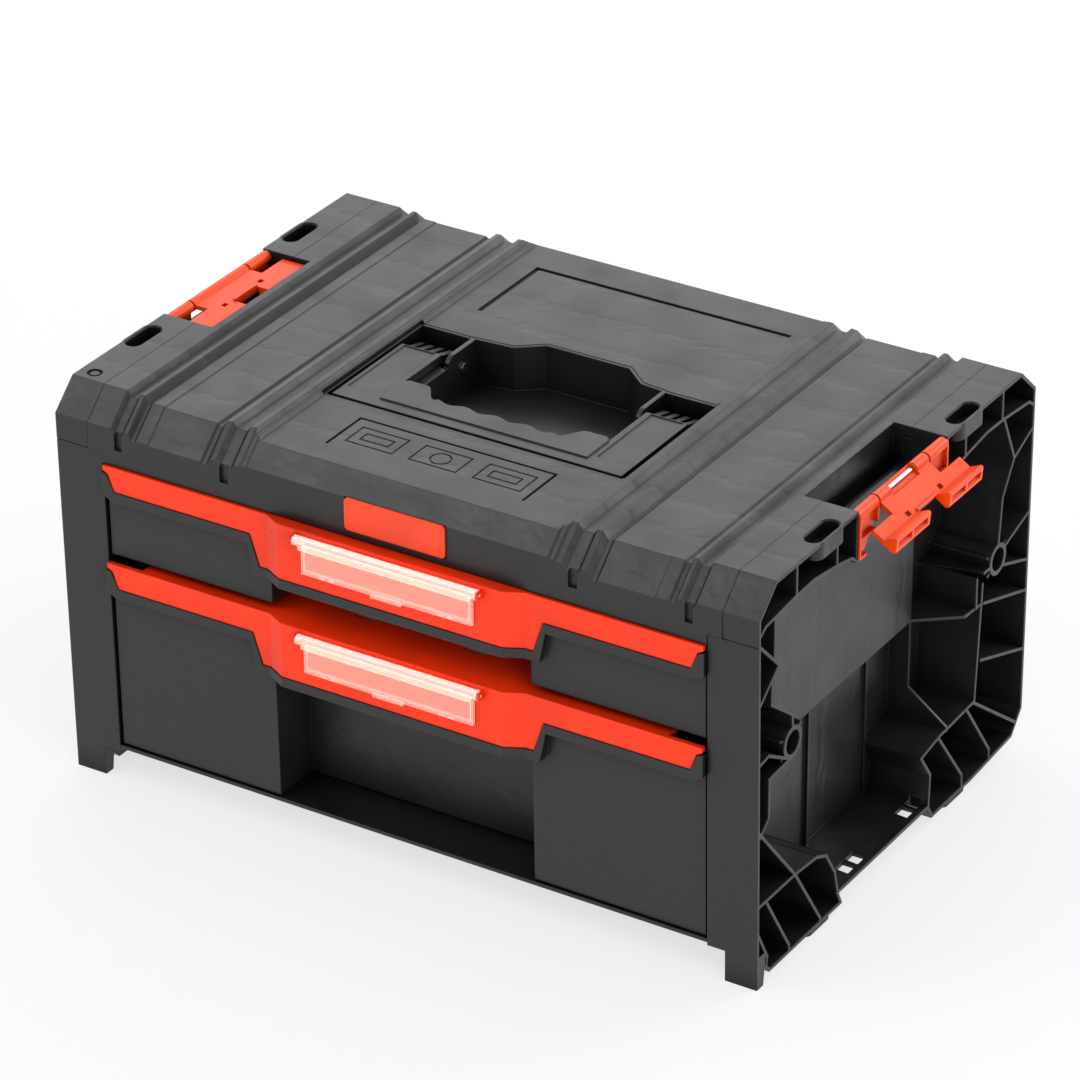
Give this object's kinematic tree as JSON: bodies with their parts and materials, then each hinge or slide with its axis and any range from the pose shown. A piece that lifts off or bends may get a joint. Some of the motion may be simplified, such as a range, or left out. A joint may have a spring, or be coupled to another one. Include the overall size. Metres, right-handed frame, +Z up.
{
  "type": "tool box with drawers",
  "caption": "Portable stackable tool box with pull-out drawers, red finger grips, a fold-away carry handle and side latches that hook it to the next box.",
  "frame": {"origin": "middle of the footprint, on the plane of the feet", "axes": "+X across the front to the right, +Y from the front to the back, +Z up"},
  "size_m": [0.4742, 0.3236, 0.2465],
  "materials": {
    "shell_black": "moulded polypropylene, fine spark-eroded grain",
    "inner_black": "moulded polypropylene, smooth",
    "handle_black": "moulded polypropylene, fine grain",
    "drawer_black": "moulded polypropylene, fine grain",
    "grip_red": "moulded red plastic, satin gloss",
    "badge_red": "bare red plate, satin gloss",
    "latch_red": "moulded orange-red plastic, satin gloss",
    "window_clear": "clear moulded polycarbonate",
    "steel_bright": "zinc plated",
    "steel_slide": "rolled and zinc plated"
  },
  "bodies": {
    "case": {"carcass": "inner_black", "top_cover": "shell_black", "side_frame_left": "shell_black", "side_frame_right": "shell_black", "frame_screws_left": "steel_bright", "frame_screws_right": "steel_bright", "handle_well": "inner_black", "well_screws": "steel_bright", "handle_pin_left": "steel_bright", "handle_pin_right": "steel_bright", "badge_plate": "badge_red", "latch_bracket_left": "latch_red", "latch_bracket_right": "latch_red", "latch_rod_left": "steel_bright", "latch_rod_right": "steel_bright", "channel_upper_left": "steel_slide", "channel_upper_right": "steel_slide", "channel_lower_left": "steel_slide", "channel_lower_right": "steel_slide"},
    "upper_drawer": {"upper_drawer_tray": "drawer_black", "upper_drawer_grip": "grip_red", "upper_drawer_screws": "steel_bright", "rail_upper_left": "steel_slide", "rail_upper_right": "steel_slide"},
    "lower_drawer": {"lower_drawer_tray": "drawer_black", "lower_drawer_grip": "grip_red", "lower_drawer_screws": "steel_bright", "rail_lower_left": "steel_slide", "rail_lower_right": "steel_slide"},
    "upper_label": {"upper_label_window": "window_clear"},
    "lower_label": {"lower_label_window": "window_clear"},
    "carry_handle": {"carry_handle": "handle_black"},
    "latch_left": {"latch_left": "latch_red"},
    "latch_right": {"latch_right": "latch_red"}
  },
  "joints": [
    {"name": "upper_drawer_slide", "type": "slide", "parent": "case", "child": "upper_drawer", "axis": [0, -1, 0], "range_m": [0, 0.2]},
    {"name": "lower_drawer_slide", "type": "slide", "parent": "case", "child": "lower_drawer", "axis": [0, -1, 0], "range_m": [0, 0.2]},
    {"name": "upper_label_hinge", "type": "hinge", "parent": "upper_drawer", "child": "upper_label", "pos_m": [0, -0.1657, 0.2027], "axis": [-1, 0, 0], "range_deg": [0, 100]},
    {"name": "lower_label_hinge", "type": "hinge", "parent": "lower_drawer", "child": "lower_label", "pos_m": [0, -0.1657, 0.1407], "axis": [-1, 0, 0], "range_deg": [0, 100]},
    {"name": "carry_handle_hinge", "type": "hinge", "parent": "case", "child": "carry_handle", "pos_m": [0, 0.009, 0.23], "axis": [-1, 0, 0], "range_deg": [0, 90]},
    {"name": "latch_left_hinge", "type": "hinge", "parent": "case", "child": "latch_left", "pos_m": [-0.2225, 0, 0.2425], "axis": [0, -1, 0], "range_deg": [0, 213]},
    {"name": "latch_right_hinge", "type": "hinge", "parent": "case", "child": "latch_right", "pos_m": [0.2225, 0, 0.2425], "axis": [0, -1, 0], "range_deg": [0, 213]}
  ]
}
